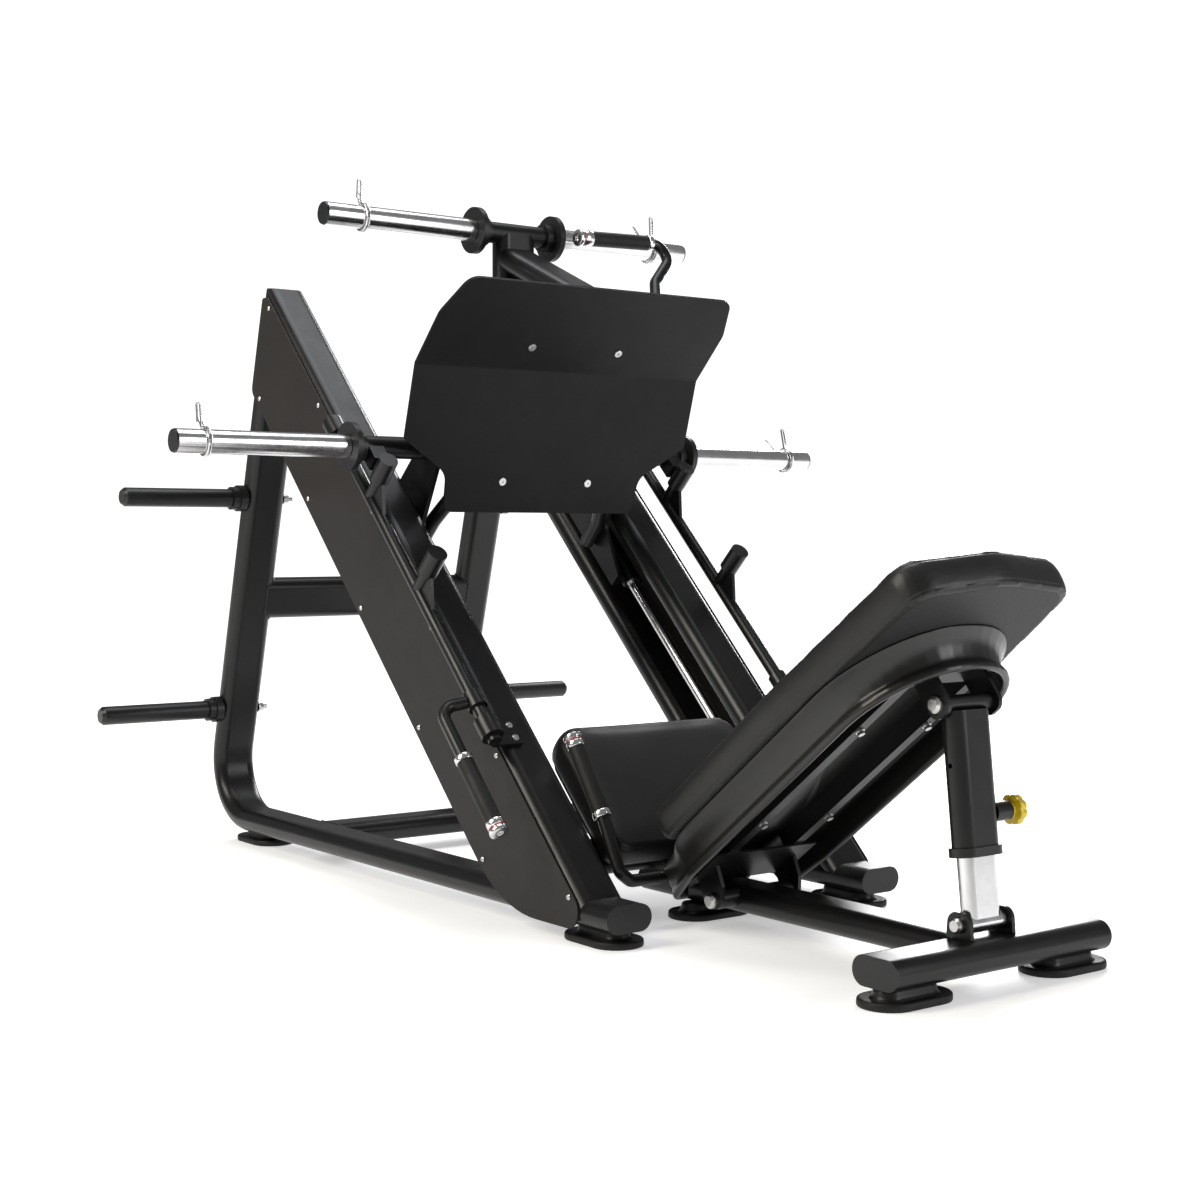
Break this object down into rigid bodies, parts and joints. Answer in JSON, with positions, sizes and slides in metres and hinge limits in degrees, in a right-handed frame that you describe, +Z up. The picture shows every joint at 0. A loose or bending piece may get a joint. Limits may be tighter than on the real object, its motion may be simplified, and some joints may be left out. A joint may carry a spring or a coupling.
{
  "type": "plate-loaded leg press machine",
  "caption": "Inclined leg press with a footplate carriage sliding on rails, side and crown weight sleeves, swing-out safety stops and an adjustable padded backrest.",
  "frame": {"origin": "on the floor, at the centre of the machine's outline", "axes": "+X toward the front beam under the backrest's head end, +Y toward the right hand of a seated user, +Z up"},
  "size_m": [2.3016, 1.712, 1.5297],
  "materials": {
    "powder_black": "satin powder coat",
    "cover_dark": "fine-textured powder coat",
    "plate_black": "matt coat",
    "chrome": "polished",
    "zinc": "bright zinc",
    "wire": "bright wire",
    "rubber": "matt",
    "plastic_black": "satin",
    "shell_plastic": "fine grained",
    "yellow_plastic": "glossy",
    "board": "black stained plywood",
    "vinyl": "smooth black vinyl"
  },
  "bodies": {
    "frame": {"side_frame_left": "powder_black", "side_frame_right": "powder_black", "upper_beam_left": "powder_black", "upper_beam_right": "powder_black", "lower_beam_left": "powder_black", "lower_beam_right": "powder_black", "side_cover_left": "cover_dark", "side_cover_right": "cover_dark", "frame_bolts": "zinc", "cross_tubes": "powder_black", "front_beam": "powder_black", "spine_tube": "powder_black", "tube_end_caps": "plastic_black", "foot_pads": "rubber", "foot_studs": "plastic_black", "storage_horns": "plastic_black", "guide_rods": "chrome", "rod_brackets": "powder_black", "rod_bumpers": "rubber", "seat_frame": "powder_black", "seat_board": "board", "seat_pad": "vinyl", "seat_handle_bar": "powder_black", "seat_grips": "rubber", "seat_grip_rings": "chrome", "pivot_brackets": "powder_black"},
    "carriage": {"carriage_frame": "powder_black", "carriage_plates": "powder_black", "carriage_arms": "powder_black", "bearing_housings": "powder_black", "linear_bearings": "zinc", "footplate": "plate_black", "footplate_bolts": "zinc", "weight_sleeves": "chrome", "flanges_and_caps": "plastic_black", "carriage_handle": "powder_black", "carriage_grip": "rubber", "carriage_grip_rings": "chrome"},
    "stop_left": {"stop_rod_left": "powder_black", "stop_posts_left": "powder_black", "stop_grip_left": "rubber", "stop_grip_rings_left": "chrome"},
    "stop_right": {"stop_rod_right": "powder_black", "stop_posts_right": "powder_black", "stop_grip_right": "rubber", "stop_grip_rings_right": "chrome"},
    "side_clip_l": {"side_clip_left": "wire"},
    "side_clip_r": {"side_clip_right": "wire"},
    "crown_clip_l": {"crown_clip_left": "wire"},
    "crown_clip_r": {"crown_clip_right": "wire"},
    "backrest": {"backrest_pad": "vinyl", "backrest_board": "board", "backrest_shell": "shell_plastic", "backrest_frame": "powder_black", "backrest_bolts": "zinc"},
    "strut_inner": {"strut_inner_tube": "chrome"},
    "strut_outer": {"strut_outer_tube": "powder_black", "strut_collar": "plastic_black"},
    "plunger": {"plunger_pin": "zinc", "plunger_knob": "yellow_plastic"}
  },
  "joints": [
    {"name": "carriage_slide", "type": "slide", "parent": "frame", "child": "carriage", "axis": [-0.7071, 0, 0.7071], "range_m": [0, 0.465]},
    {"name": "stop_left_turn", "type": "hinge", "parent": "frame", "child": "stop_left", "pos_m": [-0.1153, -0.405, 0.6767], "axis": [0.7071, 0, -0.7071], "range_deg": [0, 60]},
    {"name": "stop_right_turn", "type": "hinge", "parent": "frame", "child": "stop_right", "pos_m": [-0.1153, 0.405, 0.6767], "axis": [-0.7071, 0, 0.7071], "range_deg": [0, 60]},
    {"name": "side_clip_left_slide", "type": "slide", "parent": "carriage", "child": "side_clip_l", "axis": [0, -1, 0], "range_m": [-0.28, 0.1]},
    {"name": "side_clip_right_slide", "type": "slide", "parent": "carriage", "child": "side_clip_r", "axis": [0, 1, 0], "range_m": [-0.28, 0.1]},
    {"name": "crown_clip_left_slide", "type": "slide", "parent": "carriage", "child": "crown_clip_l", "axis": [0, -1, 0], "range_m": [-0.25, 0.12]},
    {"name": "crown_clip_right_slide", "type": "slide", "parent": "carriage", "child": "crown_clip_r", "axis": [0, 1, 0], "range_m": [-0.25, 0.12]},
    {"name": "backrest_recline", "type": "hinge", "parent": "frame", "child": "backrest", "pos_m": [0.4969, 0, 0.0619], "axis": [0, 1, 0], "range_deg": [0, 8]},
    {"name": "strut_tilt", "type": "hinge", "parent": "frame", "child": "strut_inner", "pos_m": [1.08, 0, 0.106], "axis": [0, 1, 0], "range_deg": [-0.5, 8.6]},
    {"name": "strut_slide", "type": "slide", "parent": "strut_inner", "child": "strut_outer", "axis": [-0.1113, 0, 0.9938], "range_m": [-0.083, 0.001]},
    {"name": "plunger_pull", "type": "slide", "parent": "strut_outer", "child": "plunger", "axis": [0, 1, 0], "range_m": [0, 0.012], "stiffness_N_per_m": 800}
  ],
  "couplings": [
    {"joint": "strut_tilt", "follows": "backrest_recline", "ratio": 1.03},
    {"joint": "strut_slide", "follows": "backrest_recline", "m_per_rad": -0.5844}
  ]
}
